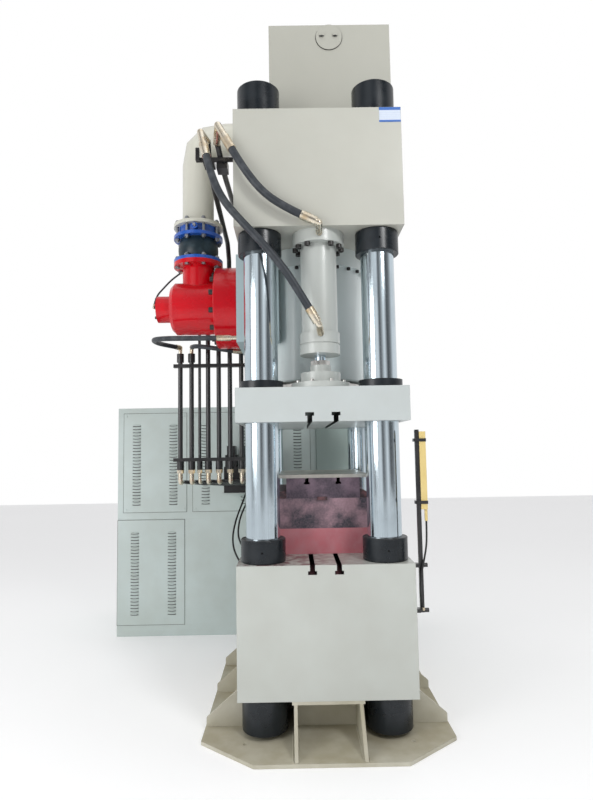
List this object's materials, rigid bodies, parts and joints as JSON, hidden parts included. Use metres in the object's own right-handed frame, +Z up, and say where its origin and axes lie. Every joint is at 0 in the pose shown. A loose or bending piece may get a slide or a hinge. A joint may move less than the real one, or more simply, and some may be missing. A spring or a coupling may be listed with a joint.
{
  "type": "hydraulic press",
  "caption": "Four-column hydraulic press with a moving beam between two heavy blocks, a top tank, a red prefill valve, hoses, tooling and a rear power unit.",
  "frame": {"origin": "on the floor under the foot plate, centred between the four columns", "axes": "+X to the right of someone facing the press, +Y to the rear towards the power unit, +Z up"},
  "size_m": [2.486, 3.028, 4.381],
  "materials": {
    "cream_paint": "satin",
    "grey_green_paint": "satin",
    "unit_paint": "satin",
    "chrome": "polished",
    "black_steel": "satin",
    "bright_steel": "brushed",
    "red_paint": "gloss",
    "blue_paint": "gloss",
    "hose_rubber": "matt",
    "zinc_fitting": "plated",
    "bolster_red": "dusty",
    "die_steel": "dusty",
    "cover_steel": "ground",
    "curtain_yellow": "satin",
    "plate_white": "printed"
  },
  "bodies": {
    "frame": {"foot_plate": "cream_paint", "foot_frame": "cream_paint", "foot_bolts": "black_steel", "base_block": "cream_paint", "crown_block": "cream_paint", "columns": "chrome", "outer_nuts": "black_steel", "inner_nuts": "black_steel", "main_cylinder": "grey_green_paint", "main_gland": "grey_green_paint", "return_cylinders": "grey_green_paint", "return_glands": "grey_green_paint", "cylinder_screws": "black_steel", "bolster_block": "bolster_red", "die_lower_block": "die_steel", "die_upper_block": "die_steel", "die_clamps": "die_steel", "die_cover_plate": "cover_steel", "top_tank": "cream_paint", "tank_cover": "cream_paint", "feed_pipe": "cream_paint", "butterfly_body": "blue_paint", "joint_flanges": "blue_paint", "expansion_joint": "hose_rubber", "flange_studs": "black_steel", "prefill_elbow": "red_paint", "prefill_housing": "red_paint", "valve_block": "grey_green_paint", "pilot_cap": "red_paint", "prefill_screws": "black_steel", "riser_pipes": "black_steel", "pipe_fittings": "zinc_fitting", "supply_pipes": "black_steel", "pipe_supports": "black_steel", "valve_manifold": "black_steel", "hose_fittings": "zinc_fitting", "upper_hose": "hose_rubber", "lower_hose": "hose_rubber", "loop_hose": "hose_rubber", "short_hose": "hose_rubber", "pilot_hose": "hose_rubber", "outer_cable": "hose_rubber", "inner_cable": "hose_rubber", "curtain_lead": "hose_rubber", "curtain_post": "black_steel", "curtain_bar": "curtain_yellow", "tank_base": "unit_paint", "upper_enclosure": "unit_paint", "louvre_panels": "unit_paint", "electric_cabinet": "unit_paint", "pump_set": "black_steel", "rating_plate": "plate_white"},
    "slide": {"moving_beam": "cream_paint", "guide_bushes": "black_steel", "main_ram": "bright_steel", "return_rods": "chrome", "rod_bosses": "grey_green_paint", "slide_fasteners": "bright_steel"},
    "valve_disc": {"butterfly_disc": "bright_steel"},
    "poppet": {"prefill_poppet": "bright_steel"}
  },
  "joints": [
    {"name": "beam_slide", "type": "slide", "parent": "frame", "child": "slide", "axis": [0, 0, 1], "range_m": [-0.31, 0]},
    {"name": "disc_turn", "type": "hinge", "parent": "frame", "child": "valve_disc", "pos_m": [-0.819, 0, 3.14], "axis": [0, 1, 0], "range_deg": [0, 90]},
    {"name": "poppet_slide", "type": "slide", "parent": "frame", "child": "poppet", "axis": [1, 0, 0], "range_m": [0, 0.045], "stiffness_N_per_m": 4000, "springref_m": -0.02}
  ]
}
